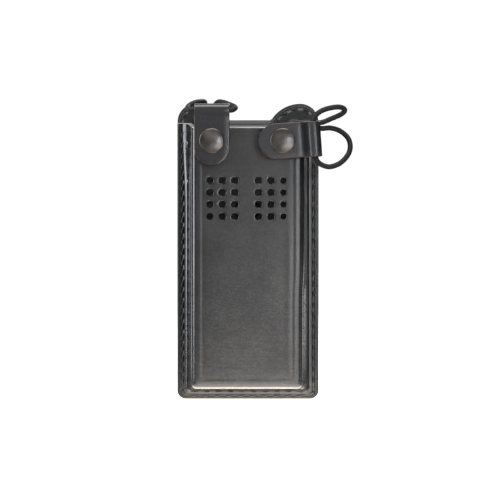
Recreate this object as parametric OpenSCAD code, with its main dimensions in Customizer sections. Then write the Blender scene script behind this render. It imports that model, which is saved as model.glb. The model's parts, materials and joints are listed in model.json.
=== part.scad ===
// Moulded leather carry case for a hand-held radio, with a swivel belt loop at the back and
// two snap-down tabs held on elastic cord. Millimetres, +Z up, the pocket's face towards -Y.
// The origin lies on the belt loop's back face, where the swivel axis meets it.

/* [Case] */
// Width across the stitched edge
case_w = 82; // [80:1:86]
// Height of the back panel's straight top edge
case_h = 162; // [160:1:166]
// Radius of the bottom corners
corner_r = 5; // [3:0.5:8]
// Distance of each ear's crest from the centreline
ear_x = 30.5; // [30:0.1:31]
// Height of each ear's crest above the straight top edge
ear_rise = 9.5; // [9:0.1:10]
// Radius of each ear on its inner side
ear_inner_r = 20; // [18:0.5:22]

/* [Leather] */
// Thickness of the back panel
panel_t = 3; // [2.4:0.1:3.6]
// Thickness of the lining
lining_t = 1.2; // [0.8:0.1:1.6]
// Thickness of the moulded front
shell_t = 2.8; // [2.2:0.1:3.2]
// Thickness of each layer of a folded tab
tab_layer_t = 2.2; // [1.8:0.1:2.4]

/* [Pocket] */
// Clear depth of the pocket, lining to face
pocket_depth = 38; // [34:1:42]
// Outside width of the pocket where it meets the flange
pocket_base_w = 70.4; // [69:0.1:71]
// Outside width of the pocket at its face
pocket_face_w = 62.6; // [61:0.1:64]
// Outside radius of the edge round the face
edge_r = 4; // [3.4:0.1:5]
// Height of the bottom wall where it meets the flange
floor_base_h = 4; // [4:0.1:6]
// Height of the bottom wall at the face
floor_face_h = 9; // [7:0.1:9]
// Height of the pocket's mouth at the face
mouth_front_h = 155; // [153:0.5:156]
// Height of the pocket's mouth at the flange
mouth_rear_h = 160; // [159:0.5:161]

/* [Speaker holes] */
// Diameter of the punched holes
hole_d = 4; // [3:0.1:4.4]
// Diameter of the holes in the last column, nearest the edge
last_hole_d = 3.4; // [3:0.1:4]
// Spacing between columns
hole_pitch_x = 7; // [6:0.1:7.4]
// Spacing between rows
hole_pitch_z = 6.7; // [6:0.1:7.4]
// Distance from the centreline to the middle of each block
block_x = 13.6; // [12:0.1:14]
// Height of the bottom row
hole_bottom_h = 105.2; // [100:0.1:108]

/* [Snap tabs] */
// Width of each tab
tab_w = 19.6; // [18:0.1:20]
// Distance from the snap to the tab's round end
tab_tip = 13.5; // [12:0.1:14.5]
// Height of both snaps
snap_h = 147; // [146:0.5:148]
// Sideways place of the left snap
left_snap_x = -20; // [-20.5:0.1:-19.5]
// Sideways place of the right snap
right_snap_x = 19.4; // [19:0.1:20]
// Distance from the snap to where a tab starts to bend
tab_flat = 8.5; // [8.2:0.1:9]
// Length of the left tab from there to its fold
left_tab_reach = 8.6; // [8.4:0.1:9]
// Length of the right tab from there to its fold
right_tab_reach = 10.2; // [9.8:0.1:10.6]
// Angle by which the right tab bends back round the case
right_tab_bend = 24; // [18:1:28]
// Angle by which the right tab rises towards its fold
right_tab_tilt = 4; // [0:0.5:5]
// Diameter of the snap caps
cap_d = 14; // [12:0.5:15]

/* [Elastic cord] */
// Diameter of the cord
cord_d = 3; // [2.4:0.1:3]

/* [Belt loop] */
// Width of the belt loop
loop_w = 44; // [40:1:48]
// Thickness of the belt loop's leather
loop_t = 3; // [2.6:0.1:3.4]
// Gap between the belt loop's two legs
loop_gap = 8; // [7:0.5:9]
// Height of the swivel above the bottom of the case
pivot_h = 112; // [110:1:114]
// Reach of the belt loop above the swivel
loop_up = 36; // [35:1:38]
// Reach of the belt loop below the swivel
loop_down = 38; // [36:1:40]
// Height of the spacer that closes the bottom of the loop
spacer_h = 10; // [9:1:12]

/* [Hidden] */
$fn = 64;

arc_steps = 8;
run_gap = 0.05;              // radial clearance of a part that turns
face_gap = 0.1;              // clearance between faces that slide past each other
thread_t = 0.9;
stitch_len = 5;
stitch_pitch = 6.2;
stitch_inset = 3;

// Depths of the layers, measured forwards from the back panel's back
lining_y = panel_t;
flange_y = lining_y + lining_t;
wall_y = flange_y + shell_t;
cavity_y = flange_y + pocket_depth;
face_y = cavity_y + shell_t;

post_r = 4;
washer_t = 1.2;
standoff = 2 * loop_t + loop_gap + washer_t + 2 * face_gap;

ear_outer_r = case_w / 2 - ear_x;
ear_outer_h = case_h + ear_rise - ear_outer_r;
ear_inner_h = case_h + ear_rise - ear_inner_r;
patch_t = 1.4;
patch_inset = 4.5;
patch_foot_h = 147;
eyelet_x = 27;
eyelet_h = 158;
eyelet_bore_r = 3.3;
eyelet_wall = 0.4;
eyelet_rim_r = 4.7;
eyelet_rim_t = 0.7;
strand_offset = 1.6;
cord_end_y = 7.6;            // the cord's ends stand this far behind the back panel
clamp_y = eyelet_rim_t + 0.2;
clamp_depth = 6;
splice = 0.05;
splice_step = 0.02;

stud_base_t = 0.8;
stud_base_r = 5.2;
stud_head_h = 2.2;
stud_head_r = 2.9;
rivet_r = 1.6;
rivet_head_r = 4.6;
rivet_head_t = 0.7;
socket_t = 3;
socket_r = 6;
socket_web_t = 0.5;
tab_y = face_y + stud_base_t + face_gap + socket_t + tab_layer_t;
fold_bore_r = cord_d / 2 + run_gap;
fold_r = fold_bore_r + tab_layer_t;
left_fold = [left_snap_x, -tab_y, snap_h + tab_flat + left_tab_reach];
right_tab_run = tab_flat + right_tab_reach * cos(right_tab_bend);
right_fold = [
    right_snap_x + right_tab_run * cos(right_tab_tilt),
    -tab_y + right_tab_reach * sin(right_tab_bend),
    snap_h + right_tab_run * sin(right_tab_tilt)
];
right_fold_axis = [-sin(right_tab_tilt), 0, cos(right_tab_tilt)];

// ---------- helpers ----------

// Points along a circular arc from angle a0 to angle a1
function arc(centre, r, a0, a1, steps = arc_steps) =
    [for (i = [0:steps]) let (a = a0 + (a1 - a0) * i / steps)
        [centre[0] + r * cos(a), centre[1] + r * sin(a)]];

function unit(v) = v / norm(v);

// Places the case's own frame: back of the back panel at y = 0, bottom edge at z = 0
module in_case() translate([0, -standoff, -pivot_h]) children();

// Turns a flat outline drawn in x and z into a sheet of the given thickness
module sheet(y, t) translate([0, -y, 0]) rotate([90, 0, 0]) linear_extrude(t) children();

// Points an upright part forwards, with its foot at the given place
module forwards(x, y, z) translate([x, -y, z]) rotate([90, 0, 0]) children();

// A loop of thread through the leather, front bar along +x, from y down to back_y
module thread_loop(y, back_y)
    translate([0, -back_y + thread_t, -thread_t / 2]) rotate([0, 0, -90])
        linear_extrude(thread_t) difference() {
            translate([0, -stitch_len / 2]) square([y - back_y + 2 * thread_t, stitch_len]);
            translate([thread_t, thread_t - stitch_len / 2])
                square([y - back_y, stitch_len - 2 * thread_t]);
        }

// Moves a part so that its x, y and z axes point along three unit vectors at the given place
module place(x, y, z, origin) multmatrix([
    [x[0], y[0], z[0], origin[0]],
    [x[1], y[1], z[1], origin[1]],
    [x[2], y[2], z[2], origin[2]]
]) children();

// A round cord along a chain of stops. Each stop is [point, radius of the bend there].
// The straight lengths are a hair thinner than the bends and run a little way into them.
module bent_cord(stops, r) {
    last = len(stops) - 1;
    function way(i) = unit(stops[i + 1][0] - stops[i][0]);
    function turn(i) = acos(way(i - 1) * way(i));
    function trim(i) = (i == 0 || i == last) ? 0 : stops[i][1] * tan(turn(i) / 2);
    for (i = [0:last - 1]) {
        u = way(i);
        side = unit(cross(u, abs(u[2]) < 0.9 ? [0, 0, 1] : [1, 0, 0]));
        length = norm(stops[i + 1][0] - stops[i][0]) - trim(i) - trim(i + 1);
        place(side, cross(u, side), u, stops[i][0] + u * (trim(i) - splice))
            cylinder(r = r - splice_step, h = length + 2 * splice);
    }
    for (i = [1:last - 1]) {
        u = way(i - 1);
        axis = unit(cross(u, way(i)));
        inward = cross(axis, u);
        place(-inward, u, axis, stops[i][0] - u * trim(i) + inward * stops[i][1])
            rotate_extrude(angle = turn(i)) translate([stops[i][1], 0]) circle(r);
    }
}

// ---------- outlines ----------

// Back panel outline in x and z, with its two ears
module panel_outline() {
    half = case_w / 2;
    polygon(concat(
        arc([-half + corner_r, corner_r], corner_r, 180, 270),
        arc([half - corner_r, corner_r], corner_r, 270, 360),
        [[half, case_h], [-half, case_h]]
    ));
    for (side = [-1, 1]) ear_outline(side, 0, 148, case_h - 4);
}

// An ear drawn down to foot_h, inset from its edge. Its inner arc ends at the given angle.
module ear_outline(side, inset, inner_end, foot_h) {
    points = concat(
        arc([ear_x, ear_outer_h], ear_outer_r - inset, 0, 90),
        arc([ear_x, ear_inner_h], ear_inner_r - inset, 92, inner_end, 2 * arc_steps)
    );
    last = len(points) - 1;
    right = concat([[points[0][0], foot_h]], points, [[points[last][0], foot_h]]);
    left = [for (i = [len(right) - 1:-1:0]) [-right[i][0], right[i][1]]];
    polygon(side == 1 ? right : left);
}

// Pocket section in x and depth, shrunk by the given wall thickness
module pocket_section(inset, front) {
    slope = atan((pocket_base_w - pocket_face_w) / 2 / (face_y - wall_y));
    corner = pocket_face_w / 2 - inset;
    back = corner + (front - flange_y) * tan(slope);
    r = edge_r - inset;
    cx = corner - r * tan(45 - slope / 2);
    polygon(concat(
        [[-back, -flange_y]],
        arc([-cx, -front + r], r, 180 + slope, 270),
        arc([cx, -front + r], r, 270, 360 - slope),
        [[back, -flange_y]]
    ));
}

// Pocket section in depth and height, shrunk by the given wall thickness
module pocket_side(inset, front, top) {
    slope = atan((floor_face_h - floor_base_h) / (face_y - wall_y));
    toe = floor_face_h + inset;
    foot = toe - (front - flange_y) * tan(slope);
    r = edge_r - inset;
    polygon(concat(
        [[-flange_y, top], [-flange_y, foot]],
        arc([-front + r, toe + r * tan(45 - slope / 2)], r, 270 - slope, 180),
        [[-front, top]]
    ));
}

// The block that a wall of the given inset encloses
module pocket_block(inset, front, top) intersection() {
    linear_extrude(top) pocket_section(inset, front);
    translate([-case_w / 2, 0, 0]) rotate([90, 0, 90]) linear_extrude(case_w)
        pocket_side(inset, front, top);
}

// ---------- belt loop, fixed to the belt ----------

module belt_loop() color("#26262a") difference() {
    rotate([90, 0, 90]) translate([0, 0, -loop_w / 2]) linear_extrude(loop_w) difference() {
        outer_r = loop_t + loop_gap / 2;
        polygon(concat(
            [[0, -loop_down]],
            arc([-outer_r, loop_up - outer_r], outer_r, 0, 180, 2 * arc_steps),
            [[-2 * outer_r, -loop_down]]
        ));
        polygon(concat(
            [[-loop_t, -loop_down - 1]],
            arc([-outer_r, loop_up - outer_r], loop_gap / 2, 0, 180, 2 * arc_steps),
            [[-loop_t - loop_gap, -loop_down - 1]]
        ));
    }
    forwards(0, loop_t + loop_gap - 1, 0) cylinder(r = post_r + 1.5, h = loop_t + 2);
}

module belt_loop_spacer() color("#1e1e20")
    translate([-loop_w / 2, -loop_t - loop_gap, -loop_down]) cube([loop_w, loop_gap, spacer_h]);

module belt_loop_stitching() color("#141416") {
    count = floor((loop_w - 6) / stitch_pitch);
    for (i = [0:count - 1])
        translate([(i - (count - 1) / 2) * stitch_pitch, 0, -loop_down + spacer_h / 2])
            thread_loop(2 * loop_t + loop_gap - thread_t, thread_t);
}

module swivel_bushing() color("#8a8780") forwards(0, loop_t + loop_gap - 0.6, 0) difference() {
    union() {
        cylinder(r = post_r + 1.45, h = loop_t + 0.6);
        cylinder(r = post_r + 4, h = 0.6);
    }
    translate([0, 0, -1]) cylinder(r = post_r + run_gap, h = loop_t + 3);
}

// ---------- case ----------

module rear_panel() color("#2b2b2e") in_case() difference() {
    sheet(0, panel_t) panel_outline();
    forwards(0, -1, pivot_h) cylinder(r = post_r + run_gap, h = panel_t + 2);
    for (side = [-1, 1])
        forwards(side * eyelet_x, -1, eyelet_h)
            cylinder(r = eyelet_bore_r + eyelet_wall + run_gap, h = panel_t + 2);
}

module rear_lining() color("#202022") in_case() difference() {
    sheet(lining_y, lining_t) panel_outline();
    forwards(0, lining_y - 1, pivot_h) cylinder(r = post_r + run_gap, h = lining_t + 2);
    for (side = [-1, 1])
        forwards(side * eyelet_x, lining_y - 1, eyelet_h)
            cylinder(r = eyelet_bore_r + eyelet_wall + run_gap, h = lining_t + 2);
}

// Everything above the mouth's sloping edge
module above_mouth() translate([-case_w, 0, 0]) rotate([90, 0, 90]) linear_extrude(2 * case_w)
    polygon([
        [1, mouth_rear_h], [-wall_y, mouth_rear_h], [-face_y - 1, mouth_front_h],
        [-face_y - 1, case_h + 30], [1, case_h + 30]
    ]);

// The two blocks of punched holes in front of the loudspeaker
module speaker_holes() for (side = [-1, 1], column = [-1:1], row = [0:3]) {
    x = side * block_x - 0.6 + column * hole_pitch_x;
    d = side == 1 && column == 1 ? last_hole_d : hole_d;
    forwards(x, cavity_y - 1, hole_bottom_h + row * hole_pitch_z) cylinder(d = d, h = shell_t + 2);
}

module front_shell() color("#303033") in_case() difference() {
    union() {
        sheet(flange_y, shell_t) intersection() {
            panel_outline();
            translate([-case_w / 2, 0]) square([case_w, mouth_rear_h]);
        }
        pocket_block(0, face_y, case_h);
    }
    pocket_block(shell_t, cavity_y, case_h + 10);
    translate([-pocket_base_w / 2 + shell_t, -flange_y - 1, floor_base_h + shell_t])
        cube([pocket_base_w - 2 * shell_t, 2, case_h]);
    above_mouth();
    speaker_holes();
    for (x = [left_snap_x, right_snap_x])
        forwards(x, cavity_y - 1, snap_h) cylinder(r = rivet_r + run_gap, h = shell_t + 2);
}

module perimeter_stitching() color("#101012") in_case() {
    side_x = case_w / 2 - stitch_inset;
    side_start = stitch_inset + corner_r + stitch_len / 2;
    side_count = floor((mouth_rear_h - side_start) / stitch_pitch);
    bottom_count = floor((2 * side_x - 2 * corner_r) / stitch_pitch);
    for (side = [-1, 1], i = [0:side_count - 1])
        translate([side * side_x, 0, side_start + i * stitch_pitch]) rotate([0, 90, 0])
            thread_loop(wall_y, 0);
    for (i = [0:bottom_count - 1])
        translate([(i - (bottom_count - 1) / 2) * stitch_pitch, 0, stitch_inset])
            thread_loop(wall_y, 0);
    for (side = [-1, 1])
        translate([side * (side_x - 1.6), 0, stitch_inset + 1.6]) rotate([0, side * -45, 0])
            thread_loop(wall_y, 0);
}

// Reinforcing patch inside the ear's stitching
module ear_patch(side) color("#2a2a30") in_case() difference() {
    sheet(flange_y, patch_t) intersection() {
        ear_outline(side, patch_inset, 180, patch_foot_h);
        union() {
            translate([-case_w / 2, mouth_rear_h + 1]) square([case_w, case_h]);
            translate([-pocket_base_w / 2 + shell_t + 0.8, patch_foot_h])
                square([pocket_base_w - 2 * shell_t - 1.6, case_h]);
        }
    }
    forwards(side * eyelet_x, flange_y - 1, eyelet_h)
        cylinder(r = eyelet_bore_r + eyelet_wall + run_gap, h = patch_t + 2);
}

// Stitches that follow the ear's edge
module ear_stitching(side) color("#101012") in_case() {
    for (a = [24, 66]) ear_stitch(side, a, ear_outer_h, ear_outer_r - stitch_inset);
    for (a = [102:22:146]) ear_stitch(side, a, ear_inner_h, ear_inner_r - stitch_inset);
}

module ear_stitch(side, a, centre_h, r) translate([side * ear_x, 0, centre_h])
    rotate([0, side == 1 ? -a : a - 180, 0]) translate([r, 0, 0])
        rotate([0, 90, 0]) thread_loop(flange_y, 0);

module eyelet(side) color("#5c5a55") in_case() difference() {
    depth = flange_y + patch_t;
    forwards(side * eyelet_x, -eyelet_rim_t, eyelet_h) union() {
        cylinder(r = eyelet_bore_r + eyelet_wall, h = depth + 2 * eyelet_rim_t);
        cylinder(r = eyelet_rim_r, h = eyelet_rim_t);
        translate([0, 0, depth + eyelet_rim_t]) cylinder(r = eyelet_rim_r, h = eyelet_rim_t);
    }
    forwards(side * eyelet_x, -2, eyelet_h) cylinder(r = eyelet_bore_r, h = depth + 4);
}

// From the ear's eyelet, up and out, along the tab's fold, and back the same way
module left_cord() color("#1a1a1c") in_case() bent_cord([
    [[-eyelet_x - strand_offset, cord_end_y, eyelet_h], 0],
    [[-eyelet_x - strand_offset, -12, eyelet_h], 3.2],
    [[left_fold[0] - 3, -28, case_h + 9.8], 4],
    [[left_fold[0] - 13.5, left_fold[1] + 7.5, case_h + 6.5], 3],
    [[left_fold[0] - 13.5, left_fold[1], left_fold[2]], 2.6],
    [[left_fold[0] + 12.6, left_fold[1], left_fold[2]], 2.2],
    [[left_fold[0] + 12.6, left_fold[1] + 7.5, case_h + 6.2], 3],
    [[left_fold[0] + 2, -29, case_h + 9.4], 4],
    [[-eyelet_x + strand_offset, -12, eyelet_h], 3.2],
    [[-eyelet_x + strand_offset, cord_end_y, eyelet_h], 0]
], cord_d / 2);

// From the ear's eyelet, over the pocket's side and round a high loop, down the tab's fold, then
// round a low loop and back
module right_cord() color("#1a1a1c") in_case() bent_cord([
    [[eyelet_x + strand_offset, cord_end_y, eyelet_h], 0],
    [[eyelet_x + strand_offset, -12, eyelet_h], 3.2],
    [[eyelet_x, -30, mouth_front_h + 3.1], 6],
    [[eyelet_x + 4, -38.5, mouth_front_h + 3.1], 4],
    [[eyelet_x + 14.3, -38.3, mouth_front_h + 3], 6],
    [[eyelet_x + 29.4, -39.5, mouth_front_h + 9.4], 2],
    [[eyelet_x + 27, -43.8, mouth_front_h + 12.5], 2],
    [[eyelet_x + 14.3, right_fold[1], mouth_front_h + 10.6], 5],
    [right_fold + right_fold_axis * (tab_w / 2 + 3.2), 3],
    [right_fold - right_fold_axis * (tab_w / 2 + 5.4), 4],
    [[eyelet_x + 30.5, -44, snap_h - 14], 10],
    [[eyelet_x + 30.5, -37, mouth_front_h + 0.2], 10],
    [[eyelet_x + 14.3, -38.3, mouth_front_h - 0.4], 5],
    [[eyelet_x + 7, -42.3, mouth_front_h + 2.3], 3],
    [[eyelet_x + 1.5, -42.3, mouth_front_h + 2.3], 3],
    [[eyelet_x - 2.4, -34, mouth_front_h + 2.7], 5],
    [[eyelet_x - strand_offset, -12, eyelet_h], 3.2],
    [[eyelet_x - strand_offset, cord_end_y, eyelet_h], 0]
], cord_d / 2);

module cord_clamp(side) color("#6b6862") in_case() difference() {
    translate([side * eyelet_x - 4.5, clamp_y, eyelet_h - 2.5]) cube([9, clamp_depth, 5]);
    for (strand = [-1, 1])
        forwards(side * eyelet_x + strand * strand_offset, -clamp_y - clamp_depth - 1, eyelet_h)
            cylinder(r = cord_d / 2 + run_gap, h = clamp_depth + 2);
}

module snap_stud(x) color("#4a4744") in_case() forwards(x, face_y, snap_h) difference() {
    union() {
        cylinder(r = stud_base_r, h = stud_base_t);
        cylinder(r = stud_head_r - 0.4, h = stud_base_t + stud_head_h - 0.4);
        translate([0, 0, stud_base_t + stud_head_h / 2]) cylinder(r = stud_head_r, h = stud_head_h / 3);
    }
    translate([0, 0, -1]) cylinder(r = rivet_r + run_gap, h = stud_base_t + stud_head_h - 0.2);
}

// Rivet that holds the stud, its head inside the pocket
module stud_rivet(x) color("#57544e") in_case()
    forwards(x, cavity_y - rivet_head_t, snap_h) union() {
        cylinder(r = rivet_head_r, h = rivet_head_t);
        cylinder(r = rivet_r, h = rivet_head_t + shell_t + stud_base_t + 0.6);
    }

// Rivet the case turns on: its head lies in the belt slot
module swivel_post() color("#8a8780") {
    head_y = loop_t + loop_gap - 0.6 - face_gap - 1;
    forwards(0, head_y, 0) union() {
        cylinder(r = post_r + 4, h = 1);
        cylinder(r = post_r, h = standoff + flange_y - head_y);
    }
}

module swivel_burr() color("#8a8780") in_case() forwards(0, flange_y, pivot_h)
    cylinder(r = post_r + 3, h = 0.8);

module swivel_washer() color("#3a3530") in_case() forwards(0, -washer_t, pivot_h) difference() {
    cylinder(r = 14, h = washer_t);
    translate([0, 0, -1]) cylinder(r = post_r + run_gap, h = washer_t + 2);
}

// ---------- tabs ----------

// Side view of a folded tab, in depth and length, with the snap at zero
module tab_side(reach, bend) {
    t = tab_layer_t;
    mitre = t * tan(bend / 2);
    fold = [reach * sin(bend), tab_flat + reach * cos(bend)];
    across = [t * cos(bend), -t * sin(bend)];
    difference() {
        union() {
            polygon([
                [-t, -tab_tip - 1], [t, -tab_tip - 1], [t, tab_flat - mitre],
                fold + across, fold - across, [-t, tab_flat + mitre]
            ]);
            translate(fold) circle(fold_r);
        }
        translate(fold) circle(fold_bore_r);
    }
}

// A strip folded round the cord and snapped flat, standing up with its fold at the top
module folded_tab(reach, bend) difference() {
    half = tab_w / 2;
    intersection() {
        translate([-half, 0, 0]) rotate([90, 0, 90]) linear_extrude(tab_w) tab_side(reach, bend);
        translate([0, 10, 0]) rotate([90, 0, 0]) linear_extrude(20) polygon(concat(
            [[half + 1, tab_flat + reach + 2 * fold_r], [-half - 1, tab_flat + reach + 2 * fold_r]],
            [[-half - 1, half - tab_tip]],
            arc([0, half - tab_tip], half, 180, 360, 3 * arc_steps),
            [[half + 1, half - tab_tip]]
        ));
    }
    forwards(0, -tab_layer_t - 1, 0) cylinder(r = rivet_r + run_gap, h = 2 * tab_layer_t + 2);
}

// Places a tab's own frame at the left snap, fold upwards
module at_left() in_case() translate([left_snap_x, -tab_y, snap_h]) children();

// Places a tab's own frame at the right snap, fold to the side
module at_right() in_case() translate([right_snap_x, -tab_y, snap_h])
    rotate([0, 90 - right_tab_tilt, 0]) children();

// Domed cap with the post that goes through both layers into the socket
module snap_cap() color("#55514c") forwards(0, tab_layer_t, 0) union() {
    rotate_extrude() polygon(concat(
        [[0, 0], [cap_d / 2, 0]],
        [for (i = [0:arc_steps]) let (a = 90 * i / arc_steps)
            [cap_d / 2 * cos(a), 0.6 + 1.6 * sin(a)]]
    ));
    translate([0, 0, -2 * tab_layer_t - socket_web_t]) cylinder(r = rivet_r, h = 2 * tab_layer_t + 1);
}

module snap_socket() color("#4a4744") forwards(0, -tab_layer_t - socket_t, 0) difference() {
    cylinder(r = socket_r, h = socket_t);
    translate([0, 0, -1]) cylinder(r = stud_head_r + 0.7, h = socket_t - socket_web_t + 1);
    cylinder(r = rivet_r + run_gap, h = socket_t + 1);
}

module left_tab() color("#29292c") at_left() folded_tab(left_tab_reach, 0);
module right_tab() color("#29292c") at_right() folded_tab(right_tab_reach, right_tab_bend);

belt_loop();
belt_loop_spacer();
belt_loop_stitching();
swivel_bushing();
rear_panel();
rear_lining();
front_shell();
perimeter_stitching();
ear_patch(-1);  // left_ear_patch
ear_patch(1);  // right_ear_patch
ear_stitching(-1);  // left_ear_stitching
ear_stitching(1);  // right_ear_stitching
eyelet(-1);  // left_eyelet
eyelet(1);  // right_eyelet
left_cord();
right_cord();
cord_clamp(-1);  // left_cord_clamp
cord_clamp(1);  // right_cord_clamp
snap_stud(left_snap_x);  // left_snap_stud
snap_stud(right_snap_x);  // right_snap_stud
stud_rivet(left_snap_x);  // left_stud_rivet
stud_rivet(right_snap_x);  // right_stud_rivet
swivel_post();
swivel_burr();
swivel_washer();
left_tab();
at_left() snap_cap();  // left_snap_cap
at_left() snap_socket();  // left_snap_socket
right_tab();
at_right() snap_cap();  // right_snap_cap
at_right() snap_socket();  // right_snap_socket
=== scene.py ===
"""Looks for the moulded leather radio case: leather, thread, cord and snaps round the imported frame."""

import json
import math

import bmesh
import bpy
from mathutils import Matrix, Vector, noise


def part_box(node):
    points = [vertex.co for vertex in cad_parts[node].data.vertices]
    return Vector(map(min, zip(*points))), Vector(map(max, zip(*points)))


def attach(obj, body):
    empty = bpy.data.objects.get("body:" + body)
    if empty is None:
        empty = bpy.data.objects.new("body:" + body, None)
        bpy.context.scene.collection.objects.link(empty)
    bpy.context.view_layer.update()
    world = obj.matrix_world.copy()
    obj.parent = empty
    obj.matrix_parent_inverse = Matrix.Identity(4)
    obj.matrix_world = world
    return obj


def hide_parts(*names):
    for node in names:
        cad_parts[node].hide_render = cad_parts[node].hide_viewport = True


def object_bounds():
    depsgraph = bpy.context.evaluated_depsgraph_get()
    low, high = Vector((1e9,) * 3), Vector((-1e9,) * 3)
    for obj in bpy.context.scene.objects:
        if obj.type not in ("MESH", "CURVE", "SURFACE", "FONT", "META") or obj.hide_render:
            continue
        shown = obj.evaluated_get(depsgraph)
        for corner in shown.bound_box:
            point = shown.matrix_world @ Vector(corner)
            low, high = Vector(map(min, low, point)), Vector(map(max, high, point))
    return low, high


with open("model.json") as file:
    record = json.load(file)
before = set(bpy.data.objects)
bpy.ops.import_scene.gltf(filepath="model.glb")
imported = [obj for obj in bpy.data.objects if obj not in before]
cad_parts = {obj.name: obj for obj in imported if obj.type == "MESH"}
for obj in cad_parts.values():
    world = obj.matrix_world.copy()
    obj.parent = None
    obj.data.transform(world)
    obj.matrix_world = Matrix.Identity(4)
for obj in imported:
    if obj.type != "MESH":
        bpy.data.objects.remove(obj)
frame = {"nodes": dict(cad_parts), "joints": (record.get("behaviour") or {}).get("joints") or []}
cad_low, cad_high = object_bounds()

MM = 0.001
SIDES = (("left", -1), ("right", 1))

# ---------- places, all read from the frame ----------

panel_low, panel_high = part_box("rear_panel")
lining_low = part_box("rear_lining")[0]
shell_low, shell_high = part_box("front_shell")
loop_low, loop_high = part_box("belt_loop")

BACK_Y = panel_high.y
FOOT_Z = panel_low.z
HALF_W = panel_high.x
PANEL_T = panel_high.y - panel_low.y
FLANGE_D = BACK_Y - lining_low.y
FACE_D = BACK_Y - shell_low.y
MOUTH_REAR = shell_high.z - FOOT_Z
CREST_H = panel_high.z - FOOT_Z

# ---------- sizes of the leather work, in metres ----------

SHELL_T = 2.8 * MM
WALL_D = FLANGE_D + SHELL_T
EDGE_R = 4.0 * MM
BASE_HALF = 34.9 * MM
FACE_HALF = 31.3 * MM
FLOOR_BASE = 4.0 * MM
FLOOR_WALL = 5.0 * MM
FLOOR_FACE = 9.2 * MM
MOUTH_FRONT = 155 * MM
STRAIGHT_TOP = 162 * MM
CORNER_R = 5 * MM
EAR_X = 30.5 * MM
EAR_INNER_R = 20 * MM
STITCH_INSET = 3.0 * MM
STITCH_PITCH = 6.2 * MM
THREAD_R = 0.5 * MM
THREAD_SINK = 0.25 * MM
HOLE_R = 2.0 * MM
LAST_HOLE_R = 1.7 * MM
HOLE_PITCH_X = 7.0 * MM
HOLE_PITCH_Z = 6.7 * MM
HOLE_BLOCK_X = 13.6 * MM
HOLE_SHIFT = -0.6 * MM
HOLE_BOTTOM = 105.2 * MM
CORD_R = 1.5 * MM
TAB_LAYER = 2.2 * MM
TAB_HALF = 9.8 * MM


def row_point(x, depth, height):
    """A point of the case, from its distance forwards of the back and up from the bottom."""
    return Vector((x, BACK_Y - depth, FOOT_Z + height))


def box_centre(node):
    """Middle of a node's box."""
    low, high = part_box(node)
    return (low + high) / 2


# ---------- node materials ----------

class Nodes:
    """Short calls for building the node tree of a material or of the world."""

    def __init__(self, owner, shader="Principled BSDF", coordinates="Object"):
        """Starts from the owner's own shader node."""
        owner.use_nodes = True
        self.tree = owner.node_tree
        self.shader = self.tree.nodes[shader]
        self.place = self.add("ShaderNodeTexCoord").outputs[coordinates]

    def add(self, kind, **settings):
        """A new node of this kind."""
        node = self.tree.nodes.new(kind)
        for key, value in settings.items():
            setattr(node, key, value)
        return node

    def link(self, source, target):
        """Joins a socket to another, or sets it to a plain value."""
        if hasattr(source, "links"):
            self.tree.links.new(source, target)
        else:
            target.default_value = source

    def mapped(self, scale, turn):
        """The place on the object, turned and scaled."""
        node = self.add("ShaderNodeMapping")
        node.inputs["Scale"].default_value = scale
        node.inputs["Rotation"].default_value = turn
        self.link(self.place, node.inputs["Vector"])
        return node.outputs["Vector"]

    def noise(self, scale, detail=4.0, rough=0.55, vector=None, distortion=0.0):
        """Cloudy noise between 0 and 1."""
        node = self.add("ShaderNodeTexNoise")
        node.inputs["Scale"].default_value = scale
        node.inputs["Detail"].default_value = detail
        node.inputs["Roughness"].default_value = rough
        node.inputs["Distortion"].default_value = distortion
        self.link(vector or self.place, node.inputs["Vector"])
        return node.outputs["Fac"]

    def cells(self, scale):
        """Distance to the nearest of many scattered points."""
        node = self.add("ShaderNodeTexVoronoi", feature="F1")
        node.inputs["Scale"].default_value = scale
        self.link(self.place, node.inputs["Vector"])
        return node.outputs["Distance"]

    def axis(self, name, vector=None):
        """One component of a vector, by default of the place on the object."""
        node = self.add("ShaderNodeSeparateXYZ")
        self.link(vector or self.place, node.inputs[0])
        return node.outputs[name]

    def math(self, operation, a, b=0.0):
        """One arithmetic step."""
        node = self.add("ShaderNodeMath", operation=operation)
        self.link(a, node.inputs[0])
        self.link(b, node.inputs[1])
        return node.outputs[0]

    def span(self, value, low, high, out_low, out_high):
        """Smooth step of a value from one range to another."""
        node = self.add("ShaderNodeMapRange", interpolation_type="SMOOTHSTEP")
        self.link(value, node.inputs["Value"])
        for name, number in zip(("From Min", "From Max", "To Min", "To Max"),
                                (low, high, out_low, out_high)):
            node.inputs[name].default_value = number
        return node.outputs["Result"]

    def mix(self, factor, a, b):
        """A colour between two others."""
        node = self.add("ShaderNodeMix", data_type="RGBA")
        self.link(factor, node.inputs["Factor"])
        for socket, colour in ((node.inputs["A"], a), (node.inputs["B"], b)):
            self.link(colour if hasattr(colour, "links") else (*colour, 1), socket)
        return node.outputs["Result"]

    def attribute(self, name):
        """A value stored on the mesh's points."""
        return self.add("ShaderNodeAttribute", attribute_name=name).outputs["Fac"]

    def bump(self, height, strength, distance, below=None):
        """A normal bent by a height, on top of an earlier normal."""
        node = self.add("ShaderNodeBump")
        node.inputs["Strength"].default_value = strength
        node.inputs["Distance"].default_value = distance
        self.link(height, node.inputs["Height"])
        if below is not None:
            self.link(below, node.inputs["Normal"])
        return node.outputs["Normal"]

    def set(self, **values):
        """Shader inputs by name, with _ for each space."""
        for key, value in values.items():
            self.link(value, self.shader.inputs[key.replace("_", " ")])


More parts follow.
